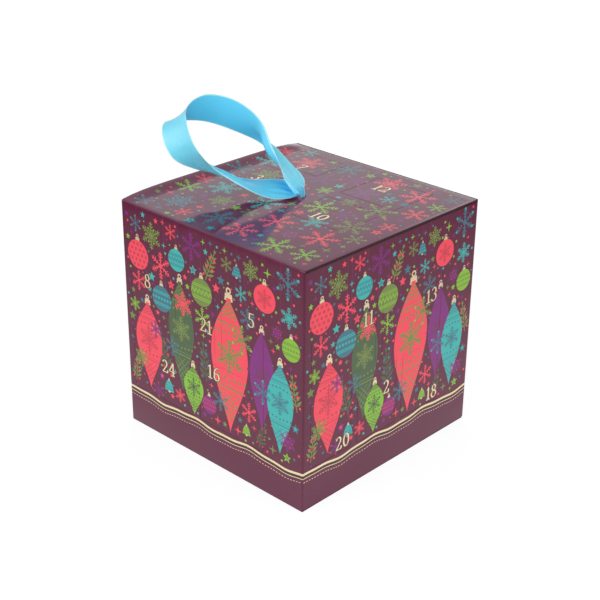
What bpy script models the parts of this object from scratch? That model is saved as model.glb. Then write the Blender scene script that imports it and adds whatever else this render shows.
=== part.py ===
"""Advent calendar: a cube carton with 24 numbered doors, pocket trays behind them and a ribbon loop on top.

Metres, +Z up. The origin is the middle of the base. The front wall faces -Y and the right wall faces +X.
"""

import math

import bpy
import bmesh
from mathutils import Matrix, Vector

# The carton's outside, its board, and the clearance that touching pieces keep.
carton_width = 0.200
carton_depth = 0.200
carton_height = 0.200
board = 0.0012
gap = 0.0003
cut_edge_setback = 0.0008
overrun = 0.002

# Flaps folded in from the walls.
seam_flap_width = 0.012
tuck_flap_height = 0.014
corner_flap_width = 0.014

# Doors: each wall has two rows, and the top has four doors round the ribbon.
border_band_height = 0.036
door_web = 0.008
door_margin = 0.005
# The numbers on each wall from its left as seen from outside: the upper row, then the lower row.
wall_numbers = {
    "front": ((8, 21, 5), (24, 16)),
    "right": ((11, 13), (20, 2, 18)),
    "back": ((17, 1, 23), (9, 14)),
    "left": ((6, 22), (4, 15, 19)),
}
# Number, hinge side, then left, right, near and far edge of each top door.
top_door_shares = (
    (3, "left", 0.08, 0.28, 0.47, 0.69),
    (7, "back", 0.08, 0.36, 0.74, 0.93),
    (10, "right", 0.56, 0.84, 0.36, 0.60),
    (12, "back", 0.56, 0.84, 0.67, 0.91),
)

# Thermoformed trays with one drafted pocket behind each door.
tray_sheet = 0.0008
wall_pocket_depth = 0.034
top_pocket_depth = 0.036
pocket_margin = 0.001
pocket_draft = 0.0015
pocket_corner_radius = 0.008
pocket_floor_radius = 0.004
pocket_corner_steps = 3
pocket_floor_steps = 2

# Ribbon: a flat satin strip looped up through a hole in the top and knotted underneath.
ribbon_width = 0.025
ribbon_thickness = 0.0004
ribbon_reach = 0.110
ribbon_hole_setback = 0.007
ribbon_hole_clearance = 0.0006
gather_radius = 0.004
gather_width = 0.005
gather_length = 0.014
ribbon_steps_per_span = 6
ribbon_columns = 4
# Where the ribbon's middle runs from its hole: along towards the front left corner, aside towards the
# front right corner, and up. Then the way its width points, in the same three directions.
ribbon_route_shares = (
    (0.000, 0.000, 0.018, -0.73, -0.65, -0.22),
    (0.064, -0.102, 0.143, -0.41, -0.91, -0.08),
    (0.194, -0.202, 0.265, 0.01, -0.79, -0.61),
    (0.324, -0.297, 0.407, 0.27, -0.54, -0.79),
    (0.522, -0.348, 0.514, 0.42, -0.12, -0.90),
    (0.724, -0.322, 0.560, 0.44, -0.15, -0.88),
    (0.893, -0.158, 0.534, 0.75, -0.24, -0.61),
    (0.859, -0.035, 0.369, 0.69, -0.25, -0.68),
    (0.722, 0.007, 0.249, 0.40, -0.71, -0.59),
    (0.537, 0.015, 0.158, 0.13, -0.96, -0.26),
    (0.352, -0.002, 0.084, 0.02, -1.00, -0.01),
    (0.182, -0.007, 0.044, -0.11, -0.96, 0.25),
    (0.000, 0.000, 0.018, -0.27, -0.95, -0.15),
)
ribbon_end_trim_share = 0.08

# The knot under the top panel, with the ribbon's two cut ends.
knot_radius = 0.009
knot_height = 0.010
# Radius and drop of each ring of the knot, from where it bears on the board to its underside.
knot_profile_shares = (
    (0.80, 0.00),
    (0.96, 0.16),
    (1.00, 0.42),
    (0.92, 0.70),
    (0.66, 0.92),
    (0.38, 1.00),
)
knot_lobes = 3
knot_lobe_depth = 0.0007
knot_clearance = 0.002
knot_tail_length = 0.018
knot_tail_width = 0.012
knot_tail_thickness = 0.0012
round_steps = 20

# Places that follow from the sizes above.
board_step = board + gap
mitre_setback = gap / math.sqrt(2)
tray_inset = 2 * board_step
wall_tray_back = board_step + wall_pocket_depth + tray_sheet
top_tray_mouth = carton_height - 2 * board_step
top_tray_bottom = top_tray_mouth - top_pocket_depth - tray_sheet
wall_tray_top = top_tray_bottom - gap
door_row_height = (wall_tray_top - door_margin - border_band_height - door_web) / 2
hole_radius = gather_radius + ribbon_hole_clearance
hole_x = -ribbon_hole_setback / math.sqrt(2)
hole_y = ribbon_hole_setback / math.sqrt(2)
loop_pivot = Vector((hole_x, hole_y, carton_height - board / 2))
# The four walls in the order that they fold round from the front, with their widths.
wall_widths = {
    "front": carton_width,
    "right": carton_depth,
    "back": carton_width,
    "left": carton_depth,
}


def clear_scene():
    for item in list(bpy.data.objects):
        bpy.data.objects.remove(item, do_unlink=True)


def make_material(name, colour, roughness, metallic=0.0):
    material = bpy.data.materials.new(name)
    material.use_nodes = True
    shader = material.node_tree.nodes["Principled BSDF"]
    shader.inputs["Base Color"].default_value = (*colour, 1.0)
    shader.inputs["Roughness"].default_value = roughness
    shader.inputs["Metallic"].default_value = metallic
    return material


def add_object(name, mesh, material, place=None, smooth_angle=None):
    piece = bpy.data.objects.new(name, mesh)
    bpy.context.scene.collection.objects.link(piece)
    piece.matrix_world = place or Matrix.Identity(4)
    mesh.materials.append(material)
    if smooth_angle:
        mesh.shade_smooth()
        mesh.set_sharp_from_angle(angle=smooth_angle)
    return piece


def add_guide(name, mesh, place=None):
    """An object that only cuts or joins another one."""
    piece = bpy.data.objects.new(name, mesh)
    bpy.context.scene.collection.objects.link(piece)
    piece.matrix_world = place or Matrix.Identity(4)
    piece.hide_render = True
    piece.display_type = "WIRE"
    return piece


def combine(piece, other, operation):
    modifier = piece.modifiers.new(operation.lower() + "_" + other.name, "BOOLEAN")
    modifier.operation = operation
    modifier.solver = "EXACT"
    modifier.object = other


def loft(name, bodies, closed=False):
    """A mesh of lofted bodies: each a list of rings of equal length, capped at its ends or joined round."""
    shape = bmesh.new()
    for rings in bodies:
        rows = [[shape.verts.new(point) for point in ring] for ring in rings]
        following_rows = rows[1:] + rows[:1] if closed else rows[1:]
        for low, high in zip(rows, following_rows):
            for i in range(len(low)):
                following = (i + 1) % len(low)
                shape.faces.new((low[i], low[following], high[following], high[i]))
        if not closed:
            shape.faces.new(list(reversed(rows[0])))
            shape.faces.new(rows[-1])
    bmesh.ops.recalc_face_normals(shape, faces=shape.faces)
    mesh = bpy.data.meshes.new(name)
    shape.to_mesh(mesh)
    shape.free()
    return mesh


def loft_strip(name, rows):
    """A thin closed strip. Each row holds its lower and its upper points.

    Both faces split along the same diagonals, so the strip keeps its thickness where it twists.
    """
    shape = bmesh.new()
    faces = []
    for side in (0, 1):
        faces.append([[shape.verts.new(point) for point in row[side]] for row in rows])
    lower, upper = faces
    columns = len(lower[0]) - 1
    for face in faces:
        for row, following in zip(face, face[1:]):
            for i in range(columns):
                shape.faces.new((row[i], row[i + 1], following[i + 1]))
                shape.faces.new((row[i], following[i + 1], following[i]))
    for edge in (0, columns):
        for i in range(len(rows) - 1):
            shape.faces.new((lower[i][edge], upper[i][edge], upper[i + 1][edge], lower[i + 1][edge]))
    for end in (0, len(rows) - 1):
        for i in range(columns):
            shape.faces.new((lower[end][i], lower[end][i + 1], upper[end][i + 1], upper[end][i]))
    bmesh.ops.recalc_face_normals(shape, faces=shape.faces)
    mesh = bpy.data.meshes.new(name)
    shape.to_mesh(mesh)
    shape.free()
    return mesh


def upright_rectangle(left, right, low, high, inward):
    """A rectangle in a wall's own directions: along it, in from its outer face, up."""
    corners = ((left, low), (right, low), (right, high), (left, high))
    return [Vector((along, inward, up)) for along, up in corners]


def flat_rectangle(left, right, near, far, height):
    corners = ((left, near), (right, near), (right, far), (left, far))
    return [Vector((x, y, height)) for x, y in corners]


def turned_ring(radius, height, lobe_depth=0.0):
    """A round ring about the ribbon's hole; with a lobe depth, it swells and draws in as a knot does."""
    ring = []
    for i in range(round_steps):
        angle = 2 * math.pi * i / round_steps
        reach = radius + lobe_depth * math.cos(knot_lobes * angle)
        ring.append(Vector((hole_x + reach * math.cos(angle), hole_y + reach * math.sin(angle), height)))
    return ring


def wall_place(wall):
    """From a wall's own directions, measured from its lower left corner outside, to the world's."""
    turns = list(wall_widths).index(wall)
    half_width = carton_width / 2
    half_depth = carton_depth / 2
    corners = (
        (-half_width, -half_depth, 0),
        (half_width, -half_depth, 0),
        (half_width, half_depth, 0),
        (-half_width, half_depth, 0),
    )
    return Matrix.Translation(corners[turns]) @ Matrix.Rotation(turns * math.pi / 2, 4, "Z")


def wall_tray_span(wall):
    """Where a wall's tray starts and ends: it stops short of the next tray's pockets."""
    return tray_inset, wall_widths[wall] - wall_tray_back - gap


def wall_doors(wall):
    """Number, left, right, low and high edge of each door on a wall."""
    start, end = wall_tray_span(wall)
    upper_row, lower_row = wall_numbers[wall]
    doors = []
    for row, numbers in enumerate((lower_row, upper_row)):
        low = border_band_height + row * (door_row_height + door_web)
        width = (end - start - 2 * door_margin - (len(numbers) - 1) * door_web) / len(numbers)
        for column, number in enumerate(numbers):
            left = start + door_margin + column * (width + door_web)
            doors.append((number, left, left + width, low, low + door_row_height))
    return doors


def top_doors():
    """Number, hinge side, left, right, near and far edge of each door on the top."""
    doors = []
    for number, side, left, right, near, far in top_door_shares:
        across = [(share - 0.5) * carton_width for share in (left, right)]
        back = [(share - 0.5) * carton_depth for share in (near, far)]
        doors.append((number, side, *across, *back))
    return doors


def make_walls(material):
    """Four walls, mitred where they fold into each other, with an opening for each door."""
    for wall, width in wall_widths.items():
        # The front folds over into the top and base; the back stands up past the tucked-in top.
        low = inner_low = board_step
        high = inner_high = carton_height - board_step
        if wall == "front":
            low = mitre_setback
            high = carton_height - mitre_setback
            inner_low = low + board
            inner_high = high - board
        if wall == "back":
            high = inner_high = carton_height
        outer = upright_rectangle(mitre_setback, width - mitre_setback, low, high, 0)
        inner_left = mitre_setback + board
        inner = upright_rectangle(inner_left, width - inner_left, inner_low, inner_high, board)
        panel = add_object(wall + "_panel", loft(wall, [[outer, inner]]), material, wall_place(wall))
        openings = []
        for _, left, right, door_low, door_high in wall_doors(wall):
            edges = (left - gap, right + gap, door_low - gap, door_high + gap)
            openings.append([upright_rectangle(*edges, reach) for reach in (-overrun, board + overrun)])
        cutter = add_guide(wall + "_openings", loft(wall + "_openings", openings), wall_place(wall))
        combine(panel, cutter, "DIFFERENCE")


def make_top_panel(material):
    """The top: folded from the front wall, cut at its sides and tucked in at the back."""
    side = carton_width / 2 - cut_edge_setback
    front = -carton_depth / 2 + mitre_setback
    back = carton_depth / 2 - board_step
    outer = flat_rectangle(-side, side, front, back, carton_height)
    inner = flat_rectangle(-side, side, front + board, back, carton_height - board)
    panel = add_object("top_panel", loft("top", [[outer, inner]]), material)
    over = carton_height + overrun
    under = carton_height - board - overrun
    openings = []
    for _, _, left, right, near, far in top_doors():
        edges = (left - gap, right + gap, near - gap, far + gap)
        openings.append([flat_rectangle(*edges, over), flat_rectangle(*edges, under)])
    combine(panel, add_guide("top_openings", loft("top_openings", openings)), "DIFFERENCE")
    hole = loft("ribbon_hole", [[turned_ring(hole_radius, over), turned_ring(hole_radius, under)]])
    combine(panel, add_guide("ribbon_hole", hole), "DIFFERENCE")


def make_base_panel(material):
    """The base: folded from the front wall, with the other three walls standing on it."""
    side = carton_width / 2 - cut_edge_setback
    front = -carton_depth / 2 + mitre_setback
    back = carton_depth / 2 - cut_edge_setback
    outer = flat_rectangle(-side, side, front, back, 0)
    inner = flat_rectangle(-side, side, front + board, back, board)
    add_object("base_panel", loft("base", [[outer, inner]]), material)


def make_seam_flap(name, wall, start, end, low, material):
    """A strip folded in from a wall's edge, with its ends cut at 45 degrees."""
    tip = board_step + seam_flap_width
    corners = (
        (start, board_step),
        (end, board_step),
        (end - seam_flap_width, tip),
        (start + seam_flap_width, tip),
    )
    rings = [[Vector((along, inward, up)) for along, inward in corners] for up in (low, low + board)]
    add_object(name, loft(name, [rings]), material, wall_place(wall))


def make_flaps(material):
    clear = board_step + gap
    for wall in ("right", "back", "left"):
        end = wall_widths[wall] - clear
        make_seam_flap(wall + "_base_flap", wall, clear, end, board_step, material)
    # Beside the top's tuck flap, the two flaps under the top stop a board earlier.
    under_top = carton_height - board_step - board
    right_end = carton_depth - clear - board_step
    make_seam_flap("right_top_flap", "right", clear, right_end, under_top, material)
    left_end = carton_depth - clear
    make_seam_flap("left_top_flap", "left", clear + board_step, left_end, under_top, material)

    # The tuck flap hangs inside the back wall from the back edge of the top.
    tuck_top = carton_height - board_step
    tuck_low = tuck_top - tuck_flap_height
    tuck_left = tray_inset
    tuck_right = carton_width - tray_inset
    rings = []
    for inward in (board_step, board_step + board):
        ring = upright_rectangle(tuck_left, tuck_right, tuck_low, tuck_top, inward)
        ring[0].x += tuck_flap_height / 2
        ring[1].x -= tuck_flap_height / 2
        rings.append(ring)
    add_object("tuck_flap", loft("tuck_flap", [rings]), material, wall_place("back"))

    # The glue flap that closes the ring of walls is folded from the left wall and lies inside the back.
    fold = carton_width - board_step
    corner_low = tray_inset
    corner_high = tuck_low - gap
    rings = []
    for inward in (board_step, board_step + board):
        ring = upright_rectangle(fold - corner_flap_width, fold, corner_low, corner_high, inward)
        ring[0].z += corner_flap_width
        ring[3].z -= corner_flap_width
        rings.append(ring)
    add_object("corner_glue_flap", loft("corner_glue_flap", [rings]), material, wall_place("back"))


def rounded_outline(edges, inset, radius):
    """A rectangle drawn in by an inset, with round corners, as pairs of places."""
    left, right, low, high = edges
    left += inset
    right -= inset
    low += inset
    high -= inset
    centres = (
        (right - radius, low + radius, -math.pi / 2),
        (right - radius, high - radius, 0),
        (left + radius, high - radius, math.pi / 2),
        (left + radius, low + radius, math.pi),
    )
    outline = []
    for across, up, first in centres:
        for step in range(pocket_corner_steps + 1):
            angle = first + math.pi / 2 * step / pocket_corner_steps
            outline.append((across + radius * math.cos(angle), up + radius * math.sin(angle)))
    return outline


def pocket_rings(edges, depth, growth, start, to_place):
    """Rings down a drafted pocket with a round floor edge. Growth makes the outer skin of the sheet."""
    floor_curve = pocket_floor_radius + growth
    levels = [(start, 0)]
    for step in range(pocket_floor_steps + 1):
        angle = math.pi / 2 * step / pocket_floor_steps
        level = depth + growth - floor_curve * (1 - math.sin(angle))
        levels.append((level, pocket_draft + floor_curve * (1 - math.cos(angle))))
    rings = []
    for level, draw_in in levels:
        radius = pocket_corner_radius + growth - draw_in
        outline = rounded_outline(edges, draw_in - growth, radius)
        rings.append([to_place(across, up, level) for across, up in outline])
    return rings


def make_tray(name, flange, doors, depth, to_place, material, place=None):
    """A thin sheet flange with a cup behind each door: joined cups outside, then hollowed."""
    tray = add_object(name, loft(name, [flange]), material, place)
    cups = []
    hollows = []
    spread = gap + pocket_margin
    for left, right, low, high in doors:
        edges = (left - spread, right + spread, low - spread, high + spread)
        cups.append(pocket_rings(edges, depth, tray_sheet, tray_sheet / 2, to_place))
        hollows.append(pocket_rings(edges, depth, 0, -overrun, to_place))
    combine(tray, add_guide(name + "_cups", loft(name + "_cups", cups), place), "UNION")
    combine(tray, add_guide(name + "_hollows", loft(name + "_hollows", hollows), place), "DIFFERENCE")
    return tray


def make_wall_trays(material):
    def wall_point(along, up, level):
        return Vector((along, board_step + level, up))

    for wall in wall_widths:
        start, end = wall_tray_span(wall)
        faces = (board_step, board_step + tray_sheet)
        flange = [upright_rectangle(start, end, tray_inset, wall_tray_top, face) for face in faces]
        doors = [door[1:] for door in wall_doors(wall)]
        place = wall_place(wall)
        make_tray(wall + "_tray", flange, doors, wall_pocket_depth, wall_point, material, place)


def make_top_trays(material):
    """Two trays under the top, hung from the seam flaps, which leave the ribbon's knot free between them."""

    def top_point(across, back, level):
        return Vector((across, back, top_tray_mouth - level))

    side = carton_width / 2 - board_step - gap
    front = -carton_depth / 2 + board_step + gap
    back = carton_depth / 2 - tray_inset - gap
    knot_room = knot_radius + knot_lobe_depth + knot_clearance
    spans = {
        "top_left_tray": (-side, hole_x - knot_room),
        "top_right_tray": (hole_x + knot_room, side),
    }
    for name, (left, right) in spans.items():
        faces = (top_tray_mouth, top_tray_mouth - tray_sheet)
        flange = [flat_rectangle(left, right, front, back, face) for face in faces]
        doors = [door[2:] for door in top_doors() if left < door[2] < right]
        make_tray(name, flange, doors, top_pocket_depth, top_point, material)


def make_core(material):
    """A square card tube that stands on the base, backs the wall trays and carries the top tray."""
    half_width = carton_width / 2 - wall_tray_back - gap
    half_depth = carton_depth / 2 - wall_tray_back - gap
    low = board_step
    high = top_tray_bottom - gap
    outside = (-half_width, half_width, -half_depth, half_depth)
    inside = (board - half_width, half_width - board, board - half_depth, half_depth - board)
    rings = [
        flat_rectangle(*outside, low),
        flat_rectangle(*outside, high),
        flat_rectangle(*inside, high),
        flat_rectangle(*inside, low),
    ]
    add_object("core_tube", loft("core_tube", [rings], closed=True), material)


def door_name(number):
    return f"door_{number:02d}"


def make_doors(material):
    """Each door's origin lies on its crease, in the outer face of the board."""
    for wall in wall_widths:
        for number, left, right, low, high in wall_doors(wall):
            faces = (0, board)
            rings = [upright_rectangle(0, right - left, 0, high - low, face) for face in faces]
            place = wall_place(wall) @ Matrix.Translation((left, 0, low))
            add_object(door_name(number), loft(door_name(number), [rings]), material, place)
    for number, side, left, right, near, far in top_doors():
        creases = {"left": (left, near), "right": (right, near), "back": (left, far)}
        crease_x, crease_y = creases[side]
        edges = (left - crease_x, right - crease_x, near - crease_y, far - crease_y)
        rings = [flat_rectangle(*edges, height) for height in (0, -board)]
        place = Matrix.Translation((crease_x, crease_y, carton_height))
        add_object(door_name(number), loft(door_name(number), [rings]), material, place)


def loop_direction(along, aside, up):
    """From the ribbon's own directions to the world's."""
    return Vector(((aside - along) / math.sqrt(2), (-along - aside) / math.sqrt(2), up))


def smooth_row(rows, position):
    """A row between the rows of a table, on a smooth curve through all of them."""
    index = min(int(position), len(rows) - 2)
    share = position - index
    start, end = rows[index], rows[index + 1]
    before = rows[index - 1] if index > 0 else [2 * a - b for a, b in zip(start, end)]
    after = rows[index + 2] if index + 2 < len(rows) else [2 * b - a for a, b in zip(start, end)]
    row = []
    for a, b, c, d in zip(before, start, end, after):
        bend = 2 * a - 5 * b + 4 * c - d
        twist = 3 * b - 3 * c + d - a
        row.append(b + share * (c - a + share * (bend + share * twist)) / 2)
    return row


def ribbon_line():
    """Middle points and width directions along the ribbon, from one end in the hole to the other."""
    spans = len(ribbon_route_shares) - 1
    steps = spans * ribbon_steps_per_span
    middles = []
    across = []
    for step in range(steps + 1):
        position = ribbon_end_trim_share + (spans - 2 * ribbon_end_trim_share) * step / steps
        row = smooth_row(ribbon_route_shares, position)
        middles.append(loop_direction(*row[:3]) * ribbon_reach + Vector((0, 0, board / 2)))
        across.append(loop_direction(*row[3:]).normalized())
    return middles, across


def make_ribbon_loop(material):
    """The strip narrows into a round gather in the hole, where the loop swings."""
    middles, across = ribbon_line()
    lengths = [0]
    for last, point in zip(middles, middles[1:]):
        lengths.append(lengths[-1] + (point - last).length)
    strip_rows = []
    for i, middle in enumerate(middles):
        ahead = middles[min(i + 1, len(middles) - 1)] - middles[max(i - 1, 0)]
        thick = ahead.cross(across[i]).normalized() * ribbon_thickness / 2
        nearest_end = min(lengths[i], lengths[-1] - lengths[i])
        opened = min(nearest_end / gather_length, 1)
        opened = opened * opened * (3 - 2 * opened)
        width = gather_width + (ribbon_width - gather_width) * opened
        points = [middle + across[i] * width * (j / ribbon_columns - 0.5) for j in range(ribbon_columns + 1)]
        strip_rows.append(([point - thick for point in points], [point + thick for point in points]))
    strip = loft_strip("ribbon_loop", strip_rows)
    place = Matrix.Translation(loop_pivot)
    loop = add_object("ribbon_loop", strip, material, place, smooth_angle=math.radians(40))

    shape = bmesh.new()
    rows = round_steps // 2
    bmesh.ops.create_uvsphere(shape, u_segments=round_steps, v_segments=rows, radius=gather_radius)
    gather = bpy.data.meshes.new("gather")
    shape.to_mesh(gather)
    shape.free()
    combine(loop, add_guide("gather", gather, place), "UNION")


def make_knot(material):
    """A lobed knot that bears on the underside of the top, hollowed for the gather, with two tails."""
    top = carton_height - board_step
    rings = []
    for radius_share, drop_share in knot_profile_shares:
        height = top - knot_height * drop_share
        rings.append(turned_ring(knot_radius * radius_share, height, knot_lobe_depth))
    knot = add_object("ribbon_knot", loft("ribbon_knot", [rings]), material, smooth_angle=math.radians(50))

    # Each tail starts inside the knot and hangs out of its underside, slanting away from the other one.
    tails = []
    low = top - knot_height - knot_tail_length
    high = top - knot_height + knot_tail_thickness
    for way in (-1, 1):
        foot = hole_x + way * knot_radius
        head = hole_x + way * knot_tail_thickness
        tail = []
        for height, middle in ((low, foot), (high, head)):
            left = middle - knot_tail_thickness / 2
            right = middle + knot_tail_thickness / 2
            near = hole_y - knot_tail_width / 2
            far = hole_y + knot_tail_width / 2
            tail.append(flat_rectangle(left, right, near, far, height))
        tails.append(tail)
    combine(knot, add_guide("knot_tails", loft("knot_tails", tails)), "UNION")

    shape = bmesh.new()
    radius = gather_radius + gap
    rows = round_steps // 2
    bmesh.ops.create_uvsphere(shape, u_segments=round_steps, v_segments=rows, radius=radius)
    seat = bpy.data.meshes.new("gather_seat")
    shape.to_mesh(seat)
    shape.free()
    combine(knot, add_guide("gather_seat", seat, Matrix.Translation(loop_pivot)), "DIFFERENCE")


clear_scene()
printed_board = make_material("printed_board", (0.155, 0.030, 0.068), 0.22)
plain_board = make_material("plain_board", (0.72, 0.66, 0.57), 0.75)
tray_plastic = make_material("tray_plastic", (0.80, 0.80, 0.78), 0.35)
satin = make_material("satin", (0.085, 0.50, 0.78), 0.35)
make_walls(printed_board)
make_top_panel(printed_board)
make_base_panel(printed_board)
make_flaps(plain_board)
make_wall_trays(tray_plastic)
make_top_trays(tray_plastic)
make_core(plain_board)
make_doors(printed_board)
make_ribbon_loop(satin)
make_knot(satin)
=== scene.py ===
import math

import bmesh
import bpy
from mathutils import Matrix, Vector
from mathutils.geometry import delaunay_2d_cdt


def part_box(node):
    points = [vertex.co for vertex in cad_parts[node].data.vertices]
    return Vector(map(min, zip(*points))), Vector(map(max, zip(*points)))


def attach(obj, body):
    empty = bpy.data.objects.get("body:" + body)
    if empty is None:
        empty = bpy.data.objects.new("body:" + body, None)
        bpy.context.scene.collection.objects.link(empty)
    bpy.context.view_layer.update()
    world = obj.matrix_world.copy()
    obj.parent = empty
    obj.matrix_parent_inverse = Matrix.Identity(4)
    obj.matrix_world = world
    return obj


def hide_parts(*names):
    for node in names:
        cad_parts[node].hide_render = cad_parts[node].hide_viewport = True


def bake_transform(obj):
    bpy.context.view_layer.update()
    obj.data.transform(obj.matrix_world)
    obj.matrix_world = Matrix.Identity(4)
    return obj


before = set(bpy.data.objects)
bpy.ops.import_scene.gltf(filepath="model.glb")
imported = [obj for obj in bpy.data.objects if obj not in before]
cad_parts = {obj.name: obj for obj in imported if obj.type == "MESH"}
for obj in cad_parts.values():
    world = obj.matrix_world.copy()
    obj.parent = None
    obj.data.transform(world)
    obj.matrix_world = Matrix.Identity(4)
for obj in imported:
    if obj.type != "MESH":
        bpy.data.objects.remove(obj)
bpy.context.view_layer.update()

# The view: the camera looks down on the corner between the front and the right wall,
# from just over a metre away, with the lens that gives the photograph's perspective.
view_turn = math.radians(43.447)
view_height = math.radians(25.274)
view_roll = math.radians(0.58)
view_distance = 1.0566
view_centre = Vector((0.0, 0.0, 0.1))
view_shift_right = 0.0006
view_shift_up = 0.0107
lens_in_picture_widths = 2.137

level_right = Vector((math.cos(view_turn), math.sin(view_turn), 0.0))
level_back = Vector((math.sin(view_turn), -math.cos(view_turn), 0.0))
view_back = level_back * math.cos(view_height) + Vector((0.0, 0.0, math.sin(view_height)))
level_up = view_back.cross(level_right)
view_right = level_right * math.cos(view_roll) + level_up * math.sin(view_roll)
view_up = level_up * math.cos(view_roll) - level_right * math.sin(view_roll)


def add_object(name, data):
    thing = bpy.data.objects.new(name, data)
    bpy.context.scene.collection.objects.link(thing)
    return thing


camera_data = bpy.data.cameras.new("camera")
camera_data.sensor_width = 36.0
camera_data.lens = lens_in_picture_widths * camera_data.sensor_width
camera_data.dof.use_dof = False
camera = add_object("camera", camera_data)
camera_place = view_centre + view_back * view_distance
camera_place += view_right * view_shift_right + view_up * view_shift_up
camera_turn = Matrix((view_right, view_up, view_back)).transposed().to_4x4()
camera.matrix_world = Matrix.Translation(camera_place) @ camera_turn
bpy.context.scene.camera = camera
bpy.context.scene.view_settings.view_transform = "Standard"


# The studio: a white table and an even white surround, and two soft lamps low at the camera's sides, so
# the walls get more light than the top. Away from the carton the table's light falls off, and the surround
# is brightest low behind the carton, where the glossy top mirrors it. Both look plain white to the camera.
floor_reach = 9.0
# Near the carton and far from it.
floor_fade = (0.15, 0.70)
floor_white = (0.86, 0.20)
floor_glow = (1.12, 1.25)
floor_glow_share = 0.80
floor_mirrored_share = 0.55
# Low in the surround and high in it.
surround_light = (0.90, 0.12)
mirrored_light = (1.30, 0.82)
mirrored_climb = (0.30, 0.40)
lamp_distance = 1.9
# Each lamp's name, its turn from the camera's own direction and its height above the floor in degrees, its
# side and power, and whether a gloss mirrors it. The two weak ones fill in: in front, and behind for the
# two walls that the camera doesn't see.
studio_lamps = (
    ("left_softbox", -56.0, 25.0, 1.3, 15.2, True),
    ("right_softbox", 60.0, 23.0, 1.2, 14.4, True),
    ("front_fill", -6.0, 11.0, 0.5, 5.2, False),
    ("back_fill", 180.0, 16.0, 0.8, 9.0, False),
)


def feed(node, **inputs):
    """Sets each named input of a shader node to a value, or links it to the output that is given for it."""
    for name, given in inputs.items():
        socket = node.inputs[name.replace("_", " ")]
        if isinstance(given, bpy.types.NodeSocket):
            node.id_data.links.new(given, socket)
        else:
            socket.default_value = given
    return node


def add_node(tree, kind, **inputs):
    return feed(tree.nodes.new("ShaderNode" + kind), **inputs)


def graded(tree, value, start, end, first, last):
    """A value that runs from first to last while another runs from start to end."""
    grade = add_node(tree, "MapRange", Value=value, From_Min=start, From_Max=end, To_Min=first, To_Max=last)
    return grade.outputs["Result"]


def combined(tree, operation, one, other):
    node = add_node(tree, "Math")
    node.operation = operation
    tree.links.new(one, node.inputs[0])
    tree.links.new(other, node.inputs[1])
    return node.outputs[0]


def new_material(name, colour):
    material = bpy.data.materials.new(name)
    material.use_nodes = True
    shader = material.node_tree.nodes["Principled BSDF"]
    shader.inputs["Base Color"].default_value = (*colour, 1.0)
    return material, material.node_tree, shader


surround = bpy.data.worlds.new("surround")
bpy.context.scene.world = surround
surround.use_nodes = True
tree = surround.node_tree
rays = add_node(tree, "LightPath").outputs
direction = add_node(tree, "TexCoord").outputs["Generated"]
climb = add_node(tree, "SeparateXYZ", Vector=direction).outputs["Z"]
lit = graded(tree, climb, 0.0, 1.0, *surround_light)
mirrored = graded(tree, climb, *mirrored_climb, *mirrored_light)
strength = add_node(tree, "Mix", Factor=rays["Is Glossy Ray"], A=lit, B=mirrored).outputs["Result"]
seen = combined(tree, "MAXIMUM", rays["Is Camera Ray"], rays["Is Transmission Ray"])
strength = combined(tree, "MAXIMUM", strength, seen)
feed(tree.nodes["Background"], Color=(1.0, 1.0, 1.0, 1.0), Strength=strength)

floor_mesh = bpy.data.meshes.new("white_floor")
floor_corners = [Vector((x, y, 0.0)) * floor_reach for x, y in ((-1, -1), (1, -1), (1, 1), (-1, 1))]
floor_mesh.from_pydata(floor_corners, [], [(0, 1, 2, 3)])
white_floor = add_object("white_floor", floor_mesh)
floor_paint, tree, shader = new_material("floor_paint", (1.0, 1.0, 1.0))
floor_places = add_node(tree, "TexCoord").outputs["Object"]
floor_distance = add_node(tree, "VectorMath", Vector=floor_places)
floor_distance.operation = "LENGTH"
from_carton = floor_distance.outputs["Value"]
feed(shader, Base_Color=graded(tree, from_carton, *floor_fade, *floor_white))
feed(shader, Roughness=1.0, Specular_IOR_Level=0.0)
floor_light = add_node(tree, "Emission", Strength=graded(tree, from_carton, *floor_fade, *floor_glow))
rays = add_node(tree, "LightPath").outputs
seen = graded(tree, rays["Is Camera Ray"], 0.0, 1.0, 0.0, floor_glow_share)
mirrored_here = graded(tree, from_carton, *floor_fade, floor_mirrored_share, 0.0)
mirrored = combined(tree, "MULTIPLY", rays["Is Glossy Ray"], mirrored_here)
floor_mix = add_node(tree, "MixShader", Fac=combined(tree, "MAXIMUM", seen, mirrored))
tree.links.new(shader.outputs[0], floor_mix.inputs[1])
tree.links.new(floor_light.outputs[0], floor_mix.inputs[2])
feed(tree.nodes["Material Output"], Surface=floor_mix.outputs[0])
floor_mesh.materials.append(floor_paint)

for lamp_name, lamp_turn, lamp_height, lamp_side, lamp_power, is_mirrored in studio_lamps:
    lamp_data = bpy.data.lights.new(lamp_name, "AREA")
    lamp_data.size = lamp_side
    lamp_data.energy = lamp_power
    lamp = add_object(lamp_name, lamp_data)
    lamp.visible_camera = False
    lamp.visible_glossy = is_mirrored
    bearing = view_turn + math.radians(lamp_turn)
    rise = math.radians(lamp_height)
    level_way = Vector((math.sin(bearing), -math.cos(bearing), 0.0))
    toward_lamp = level_way * math.cos(rise) + Vector((0.0, 0.0, math.sin(rise)))
    lamp.location = view_centre + toward_lamp * lamp_distance
    lamp.rotation_euler = toward_lamp.to_track_quat("Z", "Y").to_euler()


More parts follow.
